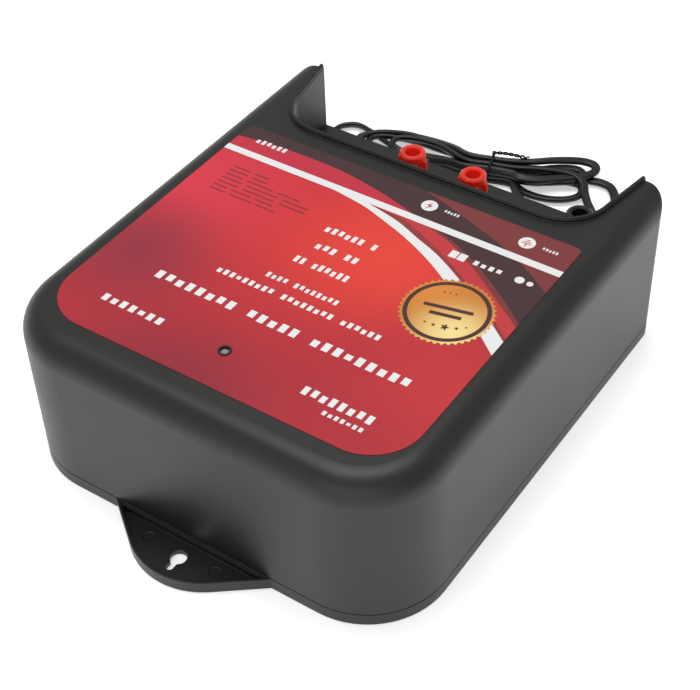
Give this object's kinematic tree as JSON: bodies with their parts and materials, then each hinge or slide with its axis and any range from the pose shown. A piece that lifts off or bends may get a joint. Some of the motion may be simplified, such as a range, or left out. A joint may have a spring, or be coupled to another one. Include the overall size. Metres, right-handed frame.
{
  "type": "electric fence energizer",
  "caption": "Mains electric fence energizer: black two-part casing with hanging tab, printed front, terminal recess with screw-down knobs, and tied two-core lead with plug.",
  "frame": {"origin": "centre of the footprint of the casing and its hanging tab, at the back of the back plate, which is the floor the unit lies on", "axes": "+X across the casing to the right, +Y from the hanging tab to the terminal end, +Z out of the printed front face"},
  "size_m": [0.2257, 0.348, 0.0847],
  "materials": {
    "casing_black": "satin moulded plastic",
    "gasket_rubber": "matte",
    "screw_steel": "zinc plated",
    "label_print": "satin printed film",
    "black_plastic": "satin",
    "led_lens": "diffused",
    "wire_red": "satin",
    "wire_green": "satin",
    "wire_brown": "satin",
    "wire_blue": "satin",
    "board_green": "satin",
    "core_steel": "laminated",
    "bobbin_plastic": "satin",
    "copper_winding": "enamelled wire",
    "zinc_plate": "zinc plated",
    "brass": "turned",
    "capacitor_blue": "gloss",
    "capacitor_yellow": "gloss",
    "component_black": "satin",
    "ceramic_white": "matte",
    "fuse_glass": "clear",
    "block_green": "satin",
    "knob_red": "satin moulded plastic",
    "lead_pvc": "satin",
    "pin_nickel": "nickel"
  },
  "bodies": {
    "casing": {"back_plate": "casing_black", "front_cover": "casing_black", "cover_gasket": "gasket_rubber", "cover_screws": "screw_steel", "label_overlay": "label_print", "led_bezel": "black_plastic", "status_led": "led_lens", "led_wires": "wire_red", "circuit_board": "board_green", "board_screws": "screw_steel", "transformer_core": "core_steel", "transformer_bobbin": "bobbin_plastic", "primary_winding": "copper_winding", "secondary_winding": "copper_winding", "transformer_bracket": "zinc_plate", "bracket_screws": "screw_steel", "transformer_tags": "brass", "storage_capacitors": "capacitor_blue", "capacitor_strap": "black_plastic", "filter_capacitor": "capacitor_yellow", "small_capacitors": "component_black", "thyristor": "component_black", "heat_sink": "zinc_plate", "power_resistors": "ceramic_white", "rectifier_diodes": "component_black", "control_chip": "component_black", "varistor": "capacitor_blue", "fuse_tube": "fuse_glass", "fuse_clips": "brass", "terminal_block": "block_green", "live_wire": "wire_brown", "neutral_wire": "wire_blue", "fence_wire_1": "wire_red", "fence_wire_2": "wire_red", "earth_wire": "wire_green", "ring_tags": "zinc_plate", "terminal_studs": "zinc_plate", "stud_washers": "zinc_plate", "stud_nuts": "zinc_plate", "lead_gland": "lead_pvc", "gland_nut": "black_plastic", "mains_lead": "lead_pvc", "lead_hank": "lead_pvc", "hank_tie": "gasket_rubber", "plug_lead": "lead_pvc", "plug_body": "lead_pvc", "plug_pins": "pin_nickel", "pin_sleeves": "lead_pvc"},
    "fence_1_washer": {"clamp_washer_1": "zinc_plate"},
    "fence_1_knob": {"fence_knob_1": "knob_red", "knob_insert_1": "brass"},
    "fence_2_washer": {"clamp_washer_2": "zinc_plate"},
    "fence_2_knob": {"fence_knob_2": "knob_red", "knob_insert_2": "brass"},
    "earth_washer": {"clamp_washer_3": "zinc_plate"},
    "earth_knob": {"earth_knob": "black_plastic", "knob_insert_3": "brass"}
  },
  "joints": [
    {"name": "fence_1_lift", "type": "slide", "parent": "casing", "child": "fence_1_washer", "axis": [0, 0, 1], "range_m": [0, 0.005]},
    {"name": "fence_1_turn", "type": "hinge", "parent": "fence_1_washer", "child": "fence_1_knob", "pos_m": [-0.0215, 0.106, 0.0512], "axis": [0, 0, 1], "range_deg": [0, 1800]},
    {"name": "fence_2_lift", "type": "slide", "parent": "casing", "child": "fence_2_washer", "axis": [0, 0, 1], "range_m": [0, 0.005]},
    {"name": "fence_2_turn", "type": "hinge", "parent": "fence_2_washer", "child": "fence_2_knob", "pos_m": [0.0125, 0.106, 0.0512], "axis": [0, 0, 1], "range_deg": [0, 1800]},
    {"name": "earth_lift", "type": "slide", "parent": "casing", "child": "earth_washer", "axis": [0, 0, 1], "range_m": [0, 0.005]},
    {"name": "earth_turn", "type": "hinge", "parent": "earth_washer", "child": "earth_knob", "pos_m": [0.0695, 0.106, 0.0512], "axis": [0, 0, 1], "range_deg": [0, 1800]}
  ],
  "couplings": [
    {"joint": "fence_1_turn", "follows": "fence_1_lift", "rad_per_m": 6280},
    {"joint": "fence_2_turn", "follows": "fence_2_lift", "rad_per_m": 6280},
    {"joint": "earth_turn", "follows": "earth_lift", "rad_per_m": 6280}
  ]
}
